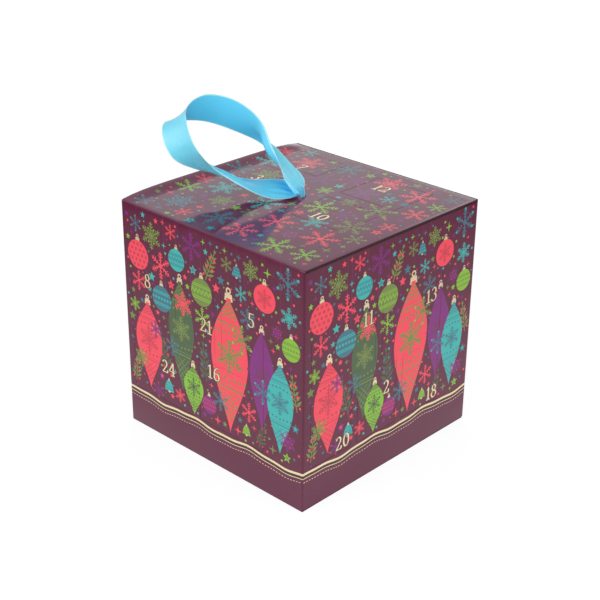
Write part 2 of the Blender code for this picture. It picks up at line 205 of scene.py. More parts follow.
# The printed board: grey-backed carton board, printed in flat inks, laminated with gloss film and
# stamped with gold foil. One sheet is creased and folded into the walls, the top and the base.
half_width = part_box("right_panel")[1].x
half_depth = -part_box("front_panel")[0].y
carton_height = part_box("back_panel")[1].z
board_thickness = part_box("door_21")[1].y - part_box("door_21")[0].y
ink_colours = {
    "ground": (0.122, 0.0135, 0.045),
    "band": (0.124, 0.0150, 0.049),
    # The top's ground is lighter and more purple than the walls': partly its own print, and partly painted
    # reflection, the tint of the gloss's sheen on the top.
    "top_ground": (0.155, 0.0180, 0.068),
    "plum": (0.185, 0.030, 0.100),
    "coral": (0.95, 0.070, 0.110),
    "coral_shade": (0.60, 0.045, 0.075),
    "teal": (0.045, 0.47, 0.44),
    "teal_shade": (0.055, 0.185, 0.250),
    "lime": (0.25, 0.52, 0.035),
    "lime_shade": (0.19, 0.26, 0.060),
    "olive": (0.075, 0.125, 0.055),
    "purple": (0.230, 0.018, 0.215),
    "umber": (0.050, 0.030, 0.011),
    "dark": (0.026, 0.010, 0.010),
}
film_roughness = 0.06
film_index = 1.47
# Relief in layers: features per metre, detail, depth in metres, share. Then the roughness's own noise:
# features per metre, lowest, highest.
board_waves = (8.0, 1.0, 0.003, 0.30)
film_relief = (board_waves, (1100.0, 2.0, 0.00004, 0.10))
film_gloss = (60.0, film_roughness * 0.7, film_roughness * 1.6)
foil_relief = (board_waves, (700.0, 3.0, 0.00006, 0.30))
foil_gloss = (420.0, 0.24, 0.46)
pulp_relief = ((45.0, 3.0, 0.0008, 0.20), (1400.0, 6.0, 0.00010, 0.55))
pulp_gloss = (300.0, 0.72, 0.94)


def textured(name, colour, relief, gloss, **inputs):
    """A material with surface relief and an uneven roughness."""
    material, tree, shader = new_material(name, colour)
    places = add_node(tree, "TexCoord").outputs["Object"]
    for scale, detail, depth, share in relief:
        noise = add_node(tree, "TexNoise", Vector=places, Scale=scale, Detail=detail).outputs["Fac"]
        bump = add_node(tree, "Bump", Strength=share, Distance=depth, Height=noise)
        if shader.inputs["Normal"].links:
            feed(bump, Normal=shader.inputs["Normal"].links[0].from_socket)
        feed(shader, Normal=bump.outputs["Normal"])
    scale, lowest, highest = gloss
    noise = add_node(tree, "TexNoise", Vector=places, Scale=scale, Detail=3.0).outputs["Fac"]
    feed(shader, Roughness=graded(tree, noise, 0.0, 1.0, lowest, highest), **inputs)
    return material


def make_board(name, colour):
    """Bare board: matt pulp with a fibrous surface."""
    return textured(name, colour, pulp_relief, pulp_gloss, Specular_IOR_Level=0.25)


finishes = {}
for name, colour in ink_colours.items():
    finishes[name] = textured("ink_" + name, colour, film_relief, film_gloss, IOR=film_index)
finishes["gold"] = textured("gold_foil", (0.95, 0.77, 0.50), foil_relief, foil_gloss, Metallic=0.75)
# The cut edges are painted dark, as shade in the narrow gaps and seams between the panels; bare board's cut
# core is paler.
finishes["edge"] = make_board("board_edge", (0.080, 0.030, 0.042))
finishes["back"] = make_board("board_back", (0.64, 0.62, 0.58))
finish_numbers = {name: number for number, name in enumerate(finishes)}


# The picture: ornaments on threads, snowflakes, stars, bells and sprigs in flat inks, a plain seasonal
# design. A motif is a list of closed shapes, each painted over the ones before it: (ink, outline), or
# (ink, outline, number of the shape that it stays inside). Its numbers are shares of its size, and angles.
thread_width = 0.0004


def polar(centre, radius, angle):
    return (centre[0] + radius * math.cos(angle), centre[1] + radius * math.sin(angle))


def ring_of(centre, radius, count):
    return [polar(centre, radius, 2 * math.pi * i / count) for i in range(count)]


def bar(start, end, width):
    run = Vector(end) - Vector(start)
    aside = Vector((-run.y, run.x)).normalized() * width / 2
    corners = (Vector(start) - aside, Vector(end) - aside, Vector(end) + aside, Vector(start) + aside)
    return [tuple(corner) for corner in corners]


def snowflake(centre, size, ink, trim, kind):
    """Six barbed arms. Kind 1 has ball tips, kind 2 short arms between the long ones, kind 3 an open
    heart."""
    shapes = []
    stroke = size * 0.095
    for arm in range(6):
        angle = math.pi / 2 + math.pi / 3 * arm
        tip = polar(centre, size, angle)
        shapes.append((ink, bar(centre, tip, stroke)))
        for share, length in ((0.34, 0.17), (0.56, 0.27), (0.78, 0.20)):
            joint = polar(centre, size * share, angle)
            for side in (-1, 1):
                barb = polar(joint, size * length, angle + side * 0.92)
                shapes.append((ink, bar(joint, barb, stroke * 0.8)))
        if kind == 1:
            shapes.append((trim, ring_of(tip, size * 0.10, 8)))
        if kind == 2:
            short = polar(centre, size * 0.55, angle + math.pi / 6)
            shapes.append((ink, bar(centre, short, stroke * 0.8)))
            shapes.append((trim, ring_of(short, size * 0.08, 6)))
    shapes.append((ink, ring_of(centre, size * 0.20, 6)))
    if kind == 3:
        shapes.append(("ground", ring_of(centre, size * 0.12, 6)))
    return shapes


def star(centre, size, ink, trim, kind):
    """A star with four slim points or five full ones. Kind 6 has a smaller one inside."""
    points = 4 if kind == 4 else 5
    waist = 0.24 if kind == 4 else 0.45
    shapes = []
    for growth, colour in ((1.0, ink), (0.5, trim)) if kind == 6 else ((1.0, ink),):
        outline = []
        for i in range(2 * points):
            reach = size * growth * (1.0 if i % 2 == 0 else waist)
            outline.append(polar(centre, reach, math.pi / 2 + math.pi * i / points))
        shapes.append((colour, outline))
    return shapes


def dot(centre, size, ink, trim, kind):
    return [(ink, ring_of(centre, size, 10))]


def cap(crown, width):
    """The gold cap and ring at the top of an ornament."""
    x, y = crown
    low = y - width * 0.25
    high = y + width * 0.42
    shoulder = width * 0.42
    outline = [(x - width / 2, low), (x + width / 2, low), (x + shoulder, high), (x - shoulder, high)]
    eye = (x, high + width * 0.26)
    ring = [("gold", ring_of(eye, width * 0.32, 12)), ("ground", ring_of(eye, width * 0.16, 8))]
    return ring + [("gold", outline)]


def belts(centre, reach, trim, kind, body):
    """Patterns across an ornament, which stay inside its body."""
    x, y = centre
    outlines = []
    if kind == "zigzag":
        teeth = 6
        upper = []
        lower = []
        for i in range(teeth * 2 + 1):
            across = x - reach + reach * i / teeth
            height = reach * (0.18 if i % 2 else -0.14)
            upper.append((across, y + height + reach * 0.09))
            lower.append((across, y + height - reach * 0.09))
        outlines.append(upper + lower[::-1])
    if kind == "dots":
        outlines += [ring_of((x + i * reach * 0.31, y), reach * 0.11, 8) for i in range(-3, 4)]
    if kind in ("dots", "zigzag"):
        for level in (-0.52, -0.38, 0.38, 0.52):
            height = y + level * reach
            outlines.append(bar((x - reach, height), (x + reach, height), reach * 0.07))
    if kind == "flake":
        outlines += [outline for _, outline in snowflake(centre, reach * 0.72, trim, trim, 2)]
    if kind == "scallops":
        for row in range(-2, 3):
            for i in range(-3, 4):
                spot = (x + (i + 0.5 * (row % 2)) * reach * 0.38, y + row * reach * 0.36)
                outlines.append(ring_of(spot, reach * 0.11, 8))
    return [(trim, outline, body) for outline in outlines]


def bauble(centre, size, ink, trim, kind):
    shapes = cap((centre[0], centre[1] + size), size * 0.42)
    body = len(shapes)
    shapes.append((ink, ring_of(centre, size, 36)))
    return shapes + belts(centre, size, trim, kind, body)


def drop(centre, size, ink, trim, kind):
    """A long turned ornament, pointed below, with belts, dots, a diamond lattice and a flake on it."""
    x, y = centre
    width = size * kind
    low = y - size / 2
    half_widths = []
    steps = 44
    for i in range(steps + 1):
        share = (1 - math.cos(math.pi * i / steps)) / 2
        bulge = math.sin(math.pi * share ** 1.25)
        neck = 0.13 * max(0.0, (share - 0.86) / 0.14) ** 0.5
        half_widths.append((width / 2 * max(bulge, neck), low + size * share))
    outline = [(x + half, height) for half, height in half_widths]
    outline += [(x - half, height) for half, height in half_widths[-1:0:-1]]
    shapes = cap((x, low + size), width * 0.22)
    body = len(shapes)
    shapes.append((ink, outline))
    shapes += belts((x, low + size * 0.575), width * 0.52, trim, "flake", body)
    patterns = []
    for level, thickness in ((0.335, 0.010), (0.362, 0.005), (0.790, 0.005), (0.815, 0.010)):
        height = low + size * level
        patterns.append(bar((x - width, height), (x + width, height), size * thickness))
    for i in range(-3, 4):
        for level, bend in ((0.400, 0.006), (0.750, -0.006)):
            spot = (x + i * width * 0.14, low + size * (level + bend * abs(i)))
            patterns.append(ring_of(spot, width * 0.034, 8))
        for level, rise in ((0.10, 1.0), (0.86, 0.6)):
            foot = (x + i * width * 0.16, low + size * level)
            for side in (-1, 1):
                top = (foot[0] + side * width * 0.60, foot[1] + size * 0.21 * rise)
                patterns.append(bar(foot, top, width * 0.018))
    return shapes + [(trim, outline, body) for outline in patterns]


def bell(centre, size, ink, trim, kind):
    x, y = centre
    outline = []
    for i in range(25):
        share = i / 12 - 1
        outline.append((x + size * 0.62 * share, y + size * (0.62 - 1.10 * abs(share) ** 3.0)))
    shapes = cap((x, y + size * 0.62), size * 0.24)
    shapes.append(("gold", ring_of((x, y - size * 0.50), size * 0.15, 10)))
    body = len(shapes)
    shapes.append((ink, outline))
    for level in (-0.30, -0.18, 0.36):
        height = y + level * size
        shapes.append((trim, bar((x - size, height), (x + size, height), size * 0.06), body))
    for i in range(-1, 2):
        shapes.append((trim, ring_of((x + i * size * 0.26, y + size * 0.06), size * 0.09, 8), body))
    return shapes


def sprig(centre, size, ink, trim, kind):
    """A leaning stem with pairs of leaves and round berries. Kind is its lean in radians."""
    lean = math.pi / 2 + kind
    foot = polar(centre, size / 2, lean + math.pi)
    shapes = [(ink, bar(foot, polar(foot, size, lean), size * 0.035))]
    for pair in range(6):
        joint = polar(foot, size * (0.16 + 0.168 * pair), lean)
        length = size * (0.34 - 0.035 * pair)
        for side in (-1, 1):
            way = lean + side * (0.85 if pair < 5 else 0.25)
            middle = polar(joint, length * 0.5, way)
            near = polar(middle, length * 0.16, way - math.pi / 2)
            far = polar(middle, length * 0.16, way + math.pi / 2)
            shapes.append((ink, [joint, near, polar(joint, length, way), far]))
            if pair % 2 == 0:
                berry = polar(joint, length * 0.42, lean + side * 1.75)
                shapes.append((trim, ring_of(berry, size * 0.045, 8)))
    return shapes


motif_makers = {
    "drop": drop,
    "bauble": bauble,
    "bell": bell,
    "flake": snowflake,
    "star": star,
    "sprig": sprig,
    "dot": dot,
}
hanging_motifs = {"drop": 0.5, "bauble": 1.0, "bell": 0.62}
round_motifs = ("flake", "star", "dot")
# The inks of a filling motif and its trim. Then the steps from one try for a place to the next, as shares
# of the area, which spread the tries evenly, and how the two starts compare.
fill_inks = (
    ("teal_shade", "teal"),
    ("lime_shade", "lime"),
    ("coral", "coral_shade"),
    ("purple", "coral"),
    ("teal", "teal_shade"),
    ("coral", "coral_shade"),
    ("lime", "lime_shade"),
)
even_steps = (0.7548776662, 0.5698402910)
even_starts = (1.0, 0.7)


def around(corners):
    """Each corner with the next one, and the last with the first."""
    return zip(corners, corners[1:] + corners[:1])


def is_inside(point, outline):
    inside = False
    x, y = point
    for (ax, ay), (bx, by) in around(outline):
        if (ay > y) != (by > y) and x < ax + (y - ay) / (by - ay) * (bx - ax):
            inside = not inside
    return inside


def is_free(spot, room, taken):
    """Whether a round motif has room between the outlines that are already painted."""
    for centre, reach, outline in taken:
        apart = math.dist(centre, spot)
        if apart < reach + room:
            if not outline or is_inside(spot, outline):
                return False
            if any(math.dist(point, spot) < room for point in outline):
                return False
    return True


def paint(motifs, fills, width, height, area, start):
    """A picture in shares of the panel: threads, the motifs of a table, then smaller and smaller ones
    between."""
    layers = []
    taken = []
    for kind, x, y, size, *_ in motifs:
        if kind in hanging_motifs:
            crown = (x * width, y * height + hanging_motifs[kind] * size * height)
            layers.append(("plum", bar(crown, (x * width, height), thread_width), None))

    def place(kind, spot, size, ink, trim, variant):
        first = len(layers)
        for colour, outline, *inside in motif_makers[kind](spot, size, ink, trim, variant):
            layers.append((colour, outline, first + inside[0] if inside else None))
            if kind not in round_motifs and not inside:
                middle = tuple(sum(point[axis] for point in outline) / len(outline) for axis in (0, 1))
                taken.append((middle, max(math.dist(middle, point) for point in outline), outline))
        if kind in round_motifs:
            taken.append((spot, size, []))

    for kind, x, y, size, ink, trim, variant in motifs:
        place(kind, (x * width, y * height), size * height, ink, trim, variant)
    left, right, low, high = area[0] * width, area[1] * width, area[2] * height, area[3] * height
    turn = 0
    for kind, share, gap_share, tries, variants in fills:
        size = share * height
        room = size + gap_share * height
        for i in range(tries):
            shares = [(start * even_starts[axis] + i * even_steps[axis]) % 1.0 for axis in (0, 1)]
            x = left + size + (right - left - 2 * size) * shares[0]
            y = low + size + (high - low - 2 * size) * shares[1]
            if is_free((x, y), room, taken):
                place(kind, (x, y), size, *fill_inks[turn % len(fill_inks)], variants[turn % len(variants)])
                turn += 1
    return layers


# The border under the picture: a waving line of gold foil with a dark edge, a hair line and a row of
# stitches, all of them parallel. Below it the board is plain.
wave_height = 0.0325
wave_swing = 0.0012
# The length, start and share of the two waves in it. Then how far each line lies under it, and its width.
waves = ((0.0667, 0.6, 1.0), (0.0286, 1.9, 0.35))
border_lines = (("umber", 0.0019, 0.0022), ("gold", 0.0, 0.0020), ("gold", 0.0037, 0.0006))
stitch_drop = 0.0072
stitch_length = 0.0017
stitch_step = 0.0030
stitch_width = 0.0005
stitch_start = 0.3
border_steps = 60


def wave_level(along):
    swings = [share * math.sin(2 * math.pi * along / length + start) for length, start, share in waves]
    return wave_height + wave_swing * sum(swings)


def wave_strip(start, end, drop, thickness, steps):
    upper = []
    lower = []
    for i in range(steps + 1):
        along = start + (end - start) * i / steps
        level = wave_level(along) - drop
        upper.append((along, level + thickness / 2))
        lower.append((along, level - thickness / 2))
    return upper + lower[::-1]


def paint_border(layers, width):
    places = [width * i / border_steps for i in range(border_steps, -1, -1)]
    edge = [(along, wave_level(along)) for along in places]
    layers.append(("band", [(0.0, 0.0), (width, 0.0)] + edge, None))
    for ink, drop_to_line, line_width in border_lines:
        layers.append((ink, wave_strip(0.0, width, drop_to_line, line_width, border_steps), None))
    for i in range(int(width / stitch_step)):
        along = (i + stitch_start) * stitch_step
        stitch = wave_strip(along, along + stitch_length, stitch_drop, stitch_width, steps=2)
        layers.append(("gold", stitch, None))


# The door numbers: serif figures in gold foil with a thin dark outline, drawn with a broad pen. Each has its
# width and its strokes, on a figure one unit high. A stroke of four numbers is a line from start to end,
# and one of six an arc: its centre, radii, and start and end angle.
figure_height = 0.0122
pen_thin = 0.050
pen_thick = 0.145
pen_lean = math.radians(20)
pen_contrast = 1.4
pen_overshoot = 0.3
outline_growth = 0.035
figure_spacing = 0.10
arc_step = 22
figure_strokes = {
    "0": (0.62, ((0.31, 0.50, 0.23, 0.44, 90, 450),)),
    "1": (0.42, ((0.05, 0.80, 0.22, 0.94), (0.22, 0.96, 0.22, 0.04), (0.03, 0.04, 0.41, 0.04))),
    "2": (0.58, (
        (0.28, 0.72, 0.20, 0.24, 165, -35),
        (0.45, 0.58, 0.07, 0.08),
        (0.05, 0.08, 0.52, 0.08),
        (0.52, 0.08, 0.55, 0.26),
    )),
    "3": (0.56, ((0.25, 0.74, 0.19, 0.22, 160, -85), (0.24, 0.28, 0.24, 0.25, 85, -160))),
    "4": (0.62, (
        (0.42, 0.98, 0.04, 0.32),
        (0.04, 0.32, 0.60, 0.32),
        (0.42, 0.98, 0.42, 0.04),
        (0.28, 0.04, 0.56, 0.04),
    )),
    "5": (0.56, ((0.13, 0.93, 0.50, 0.95), (0.15, 0.95, 0.13, 0.56), (0.24, 0.30, 0.24, 0.27, 120, -150))),
    "6": (0.60, ((0.42, 0.44, 0.34, 0.50, 80, 180), (0.30, 0.28, 0.22, 0.25, 180, -180))),
    "7": (0.56, ((0.07, 0.78, 0.09, 0.94), (0.08, 0.93, 0.53, 0.93), (0.53, 0.93, 0.22, 0.04))),
    "8": (0.56, ((0.28, 0.75, 0.17, 0.21, 90, 450), (0.28, 0.27, 0.23, 0.25, 90, 450))),
    "9": (0.60, ((0.30, 0.72, 0.22, 0.25, 0, 360), (0.18, 0.56, 0.34, 0.50, 0, -100))),
}


def pen_path(stroke):
    if len(stroke) == 4:
        return [Vector(stroke[:2]), Vector(stroke[2:])]
    x, y, wide, tall, start, end = stroke
    steps = max(3, int(abs(end - start) / arc_step))
    points = []
    for i in range(steps + 1):
        angle = math.radians(start + (end - start) * i / steps)
        points.append(Vector((x + wide * math.cos(angle), y + tall * math.sin(angle))))
    return points


def pen_sides(points, growth):
    """Both sides of a stroke, which is thin along the pen's lean and thick across it."""
    sides = ([], [])
    last = len(points) - 1
    for i, point in enumerate(points):
        ahead = (points[min(i + 1, last)] - points[max(i - 1, 0)]).normalized()
        slant = abs(math.sin(math.atan2(ahead.y, ahead.x) - pen_lean))
        half = (pen_thin + (pen_thick - pen_thin) * slant ** pen_contrast) / 2 + growth
        past = growth + pen_thin * pen_overshoot
        end = point - ahead * past if i == 0 else point + ahead * past if i == last else point
        aside = Vector((-ahead.y, ahead.x)) * half
        sides[0].append(end + aside)
        sides[1].append(end - aside)
    return sides


def write_number(layers, number, centre):
    """The same strokes twice: a little wider in dark ink, then in gold."""
    digits = str(number)
    total = sum(figure_strokes[digit][0] for digit in digits) + figure_spacing * (len(digits) - 1)
    for ink, growth in (("dark", outline_growth), ("gold", 0.0)):
        pen_x = -total / 2
        for digit in digits:
            width, strokes = figure_strokes[digit]
            for stroke in strokes:
                one, other = pen_sides(pen_path(stroke), growth)
                for i in range(len(one) - 1):
                    outline = []
                    for corner in (one[i], one[i + 1], other[i + 1], other[i]):
                        across = centre[0] + (corner.x + pen_x) * figure_height
                        outline.append((across, centre[1] + (corner.y - 0.5) * figure_height))
                    layers.append((ink, outline, None))
            pen_x += width + figure_spacing


# Cutting the sheet: the painted shapes and the die lines of the doors are worked into one flat web of
# triangles, which is sorted into the panel and its doors, folded round its edges and given its back.
lift_steps = (6, 18)
lift_squareness = 6
fold_radius = 0.0011
fold_steps = 3
fold_turn = math.radians(44.4)
door_clearance = 0.0003
die_gap = 0.00012
die_dip = 0.00010
die_shoulder = 0.00024
web_grain = 1e-7
# What a web covers: all between its points, or only its shapes.
whole_web = 0
shapes_only = 1
same_places_per_metre = 1e7
board_sharp_angle = math.radians(18)


def rectangle(left, right, low, high):
    return [(left, low), (right, low), (right, high), (left, high)]


def grown(edges, growth):
    left, right, low, high = edges
    return (left - growth, right + growth, low - growth, high + growth)


def distance_to_edge(point, edges):
    """How far a point is from a rectangle's outline, inside or outside it."""
    left, right, low, high = edges
    across = max(left - point[0], point[0] - right)
    up = max(low - point[1], point[1] - high)
    if across > 0 and up > 0:
        return math.hypot(across, up)
    return abs(max(across, up))


def anticlockwise(outline):
    area = sum(ax * by - bx * ay for (ax, ay), (bx, by) in around(outline))
    return outline if area > 0 else outline[::-1]


def middle_of(points, triangle):
    return sum((points[index] for index in triangle), Vector((0.0, 0.0))) / 3


def weave_sheet(shapes, guides):
    """One flat web of triangles: its points, each triangle's corners, and the shapes that it lies in."""
    points = []
    faces = []
    for shape in shapes:
        faces.append(list(range(len(points), len(points) + len(shape))))
        points += [Vector(point) for point in anticlockwise(shape)]
    edges = []
    for start, end in guides:
        edges.append((len(points), len(points) + 1))
        points += [Vector(start), Vector(end)]
    web = delaunay_2d_cdt(points, edges, faces, shapes_only, web_grain, True)
    points, _, triangles, _, _, origins = web
    covers = []
    for triangle, found in zip(triangles, origins):
        middle = middle_of(points, triangle)
        covers.append([number for number in found if is_inside(middle, shapes[number])])
    return points, triangles, covers


def top_ink(layers, found):
    """The ink of the last painted shape over a triangle, leaving out what reaches past its own ornament."""
    present = [number - 1 for number in found if 1 <= number <= len(layers)]
    for number in sorted(present, reverse=True):
        ink, _, inside = layers[number]
        if inside is None or inside in present:
            return ink
    return "ground"


def fold_edge(value, low, high, folds):
    """A place across the sheet once its edges are folded, and how far the sheet has turned there."""
    if folds[0] and value < low + fold_radius:
        turn = fold_turn * (low + fold_radius - value) / fold_radius
        return low + fold_radius - fold_radius * math.sin(turn), turn
    if folds[1] and value > high - fold_radius:
        turn = fold_turn * (value - high + fold_radius) / fold_radius
        return high - fold_radius + fold_radius * math.sin(turn), turn
    return value, 0.0


def finished(shape, name, materials, sharp_angle):
    """A piece of the scene from the shape that was worked for it."""
    mesh = bpy.data.meshes.new(name)
    shape.to_mesh(mesh)
    shape.free()
    for material in materials:
        mesh.materials.append(material)
    mesh.set_sharp_from_angle(angle=sharp_angle)
    return add_object(name, mesh)


def board_piece(name, points, triangles, inks, outer_place, back_spot, back_place, openings, bends=()):
    """A closed board: the printed triangles outside, the cut edges, and the plain back of the board."""
    shape = bmesh.new()
    printed = {}
    backs = {}

    def printed_corner(index):
        if index not in printed:
            printed[index] = shape.verts.new(outer_place(points[index]))
        return printed[index]

    def back_corner(index):
        spot = back_spot(points[index])
        key = (round(spot[0] * same_places_per_metre), round(spot[1] * same_places_per_metre))
        if key not in backs:
            backs[key] = (shape.verts.new(back_place(spot)), spot)
        return key

    rims = {}
    for triangle, ink in zip(triangles, inks):
        face = shape.faces.new([printed_corner(index) for index in triangle])
        face.material_index = finish_numbers[ink]
        face.smooth = True
        for a, b in around(triangle):
            if not rims.pop((b, a), False):
                rims[(a, b)] = True
    rim_keys = []
    for a, b in rims:
        start, end = back_corner(a), back_corner(b)
        ring = [printed_corner(b), printed_corner(a), backs[start][0]]
        if end != start:
            ring.append(backs[end][0])
            rim_keys.append((start, end))
        shape.faces.new(ring).material_index = finish_numbers["edge"]
    for index in bends:
        back_corner(index)
    order = {key: number for number, key in enumerate(backs)}
    verts = [vert for vert, _ in backs.values()]
    spots = [Vector(spot) for _, spot in backs.values()]
    edges = [(order[a], order[b]) for a, b in rim_keys]
    corners, _, back_triangles, origins, _, _ = delaunay_2d_cdt(spots, edges, [], whole_web, web_grain, True)
    for triangle in back_triangles:
        middle = middle_of(corners, triangle)
        if not any(is_inside(middle, opening) for opening in openings):
            face = shape.faces.new([verts[origins[index][0]] for index in reversed(triangle)])
            face.material_index = finish_numbers["back"]
    bmesh.ops.recalc_face_normals(shape, faces=shape.faces)
    return finished(shape, name, finishes.values(), board_sharp_angle)


def print_panel(panel, place, layers, edges, folds, door_numbers, holes=(), lift=None):
    """A printed panel and its doors from one sheet. Folds tell which of its edges go on into a neighbour,
    and lift the height and reach by which its free left edge stands up."""
    left, right, low, high = edges
    to_sheet = place.inverted()
    doors = {}
    for number in door_numbers:
        corners = [to_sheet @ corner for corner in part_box(f"door_{number:02d}")]
        doors[number] = (*sorted(corner.x for corner in corners), *sorted(corner.z for corner in corners))
    shapes = [rectangle(*edges)] + [layer[1] for layer in layers]
    door_growth = (door_clearance - die_gap) / 2
    window_growth = (door_clearance + die_gap) / 2
    for door in doors.values():
        for growth in (window_growth, door_growth, window_growth + die_shoulder, door_growth - die_shoulder):
            shapes.append(rectangle(*grown(door, growth)))
    first_hole = len(shapes)
    shapes += holes
    guides = []
    for step in range(1, fold_steps + 1):
        reach = fold_radius * step / fold_steps
        upright = [left + reach] * folds[0] + [right - reach] * folds[1]
        level = [low + reach] * folds[2] + [high - reach] * folds[3]
        guides += [((across, low), (across, high)) for across in upright]
        guides += [((left, up), (right, up)) for up in level]
    if lift:
        for step in range(1, lift_steps[0] + 1):
            reach = lift[1] * step / lift_steps[0]
            guides.append(((left + reach, low), (left + reach, high)))
        for step in range(1, lift_steps[1]):
            along = low + (high - low) * step / lift_steps[1]
            guides.append(((left, along), (left + lift[1], along)))
    points, triangles, origins = weave_sheet(shapes, guides)

    def lifted(spot):
        if not lift or spot[0] > left + lift[1]:
            return 0.0
        along = 2 * (spot[1] - low) / (high - low) - 1
        rise = 0.5 + 0.5 * math.cos(math.pi * max(0.0, spot[0] - left) / lift[1])
        return lift[0] * rise * max(0.0, 1 - along ** lift_squareness)

    def outer_place(point):
        across, side_turn = fold_edge(point[0], left, right, folds[:2])
        up, end_turn = fold_edge(point[1], low, high, folds[2:])
        inward = fold_radius - fold_radius * math.cos(side_turn) * math.cos(end_turn)
        for door in doors.values():
            past = distance_to_edge(point, grown(door, door_clearance / 2)) - die_gap / 2
            if past < die_shoulder:
                inward += die_dip * min(1.0, 1.0 - past / die_shoulder)
        return place @ Vector((across, inward - lifted(point), up))

    fold_inset = board_thickness + door_clearance / math.sqrt(2)
    back_left = left + fold_inset * folds[0]
    back_right = right - fold_inset * folds[1]
    back_low = low + fold_inset * folds[2]
    back_high = high - fold_inset * folds[3]

    def back_spot(point):
        return (min(max(point[0], back_left), back_right), min(max(point[1], back_low), back_high))

    def back_place(spot):
        return place @ Vector((spot[0], board_thickness - lifted(spot), spot[1]))

    homes = {home: ([], []) for home in ("panel", *doors)}
    for triangle, found in zip(triangles, origins):
        if 0 not in found or any(number >= first_hole for number in found):
            continue
        home = "panel"
        for order, number in enumerate(doors):
            window = len(layers) + 1 + 4 * order
            if window in found:
                home = number if window + 1 in found else None
        if home is not None:
            homes[home][0].append(triangle)
            homes[home][1].append(top_ink(layers, found))

    openings = [rectangle(*grown(door, window_growth)) for door in doors.values()]
    openings += holes
    bends = [index for index, point in enumerate(points) if lifted(point) > 0]
    wall = board_piece(
        panel + "_print", points, *homes["panel"], outer_place, back_spot, back_place, openings, bends
    )
    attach(wall, "carton")
    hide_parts(panel)
    for number in doors:
        name = f"door_{number:02d}"
        leaf = board_piece(name + "_print", points, *homes[number], outer_place, back_spot, back_place, [])
        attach(leaf, name)
        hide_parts(name)


# The four walls: one picture, with each wall's own door numbers in it. The front wall folds over into the
# top and the base; the others end in cut edges there. All four fold round into each other.
wall_motifs = (
    ("sprig", 0.230, 0.400, 0.150, "olive", "coral_shade", 0.25),
    ("sprig", 0.510, 0.865, 0.130, "lime_shade", "coral", -0.40),
    ("sprig", 0.955, 0.490, 0.130, "lime_shade", "coral", 0.20),
    ("sprig", 0.050, 0.265, 0.120, "lime_shade", "coral", -0.15),
    ("sprig", 0.470, 0.440, 0.150, "olive", "teal_shade", 0.10),
    ("sprig", 0.785, 0.245, 0.110, "olive", "coral_shade", -0.30),
    ("drop", 0.335, 0.510, 0.480, "olive", "lime_shade", 0.31),
    ("drop", 0.785, 0.480, 0.420, "purple", "plum", 0.31),
    ("drop", 0.610, 0.480, 0.580, "coral", "lime_shade", 0.35),
    ("drop", 0.135, 0.400, 0.390, "coral", "coral_shade", 0.41),
    ("drop", 0.880, 0.400, 0.380, "teal", "teal_shade", 0.36),
    ("drop", 0.400, 0.295, 0.220, "lime", "olive", 0.52),
    ("bauble", 0.225, 0.640, 0.056, "teal_shade", "teal", "dots"),
    ("bauble", 0.460, 0.745, 0.058, "lime_shade", "lime", "zigzag"),
    ("bauble", 0.800, 0.830, 0.056, "coral", "coral_shade", "flake"),
    ("bauble", 0.090, 0.790, 0.062, "coral", "coral_shade", "scallops"),
    ("bauble", 0.935, 0.670, 0.046, "lime", "lime_shade", "dots"),
    ("bauble", 0.490, 0.265, 0.040, "purple", "coral_shade", "zigzag"),
    ("bauble", 0.320, 0.835, 0.046, "teal", "teal_shade", "zigzag"),
    ("bell", 0.250, 0.255, 0.044, "teal", "teal_shade", 0),
    ("bell", 0.700, 0.235, 0.036, "lime", "lime_shade", 0),
    ("bell", 0.655, 0.890, 0.040, "teal_shade", "teal", 0),
    ("flake", 0.350, 0.660, 0.054, "coral", "coral", 2),
    ("flake", 0.680, 0.620, 0.056, "lime_shade", "lime", 1),
    ("flake", 0.085, 0.330, 0.046, "lime_shade", "lime", 2),
    ("flake", 0.920, 0.280, 0.044, "purple", "coral", 2),
    ("flake", 0.555, 0.310, 0.046, "teal_shade", "teal", 0),
    ("flake", 0.790, 0.440, 0.048, "teal_shade", "teal", 1),
    ("flake", 0.280, 0.450, 0.044, "teal_shade", "teal", 0),
    ("flake", 0.180, 0.490, 0.040, "purple", "lime", 2),
)
# What fills the room between them: motif, size and gap as shares of the height, tries, kinds.
wall_fills = (
    ("flake", 0.058, 0.004, 400, (1, 2, 0, 3)),
    ("flake", 0.044, 0.003, 500, (2, 0, 1, 3)),
    ("flake", 0.032, 0.003, 600, (0, 2, 1)),
    ("star", 0.022, 0.003, 600, (6, 5, 4)),
    ("star", 0.014, 0.003, 600, (5, 4)),
    ("dot", 0.0055, 0.003, 500, (0,)),
    ("dot", 0.0032, 0.003, 600, (0,)),
)
wall_door_numbers = {
    "front": (8, 21, 5, 24, 16),
    "right": (11, 13, 20, 2, 18),
    "back": (17, 1, 23, 9, 14),
    "left": (6, 22, 4, 15, 19),
}
# Where each number stands, as shares of the wall's width and of the carton's height.
wall_number_shares = {
    8: (0.140, 0.690), 21: (0.480, 0.610), 5: (0.730, 0.720), 24: (0.250, 0.340), 16: (0.520, 0.420),
    11: (0.350, 0.700), 13: (0.730, 0.670), 20: (0.220, 0.220), 2: (0.470, 0.360), 18: (0.765, 0.220),
    17: (0.150, 0.700), 1: (0.415, 0.620), 23: (0.680, 0.560), 9: (0.265, 0.350), 14: (0.640, 0.380),
    6: (0.230, 0.560), 22: (0.600, 0.680), 4: (0.150, 0.380), 15: (0.420, 0.240), 19: (0.680, 0.330),
}
wall_picture_area = (0.012, 0.988, 0.178, 0.985)
# Painted shade: the height of a dark strip along the top of the three walls that end in cut edges, for the
# shadow in the seam under the top.
seam_shade_height = 0.0007
wall_width = 2 * half_width
wall_picture = paint(wall_motifs, wall_fills, wall_width, carton_height, wall_picture_area, start=0.37)
paint_border(wall_picture, wall_width)
corner_signs = ((-1, -1), (1, -1), (1, 1), (-1, 1))
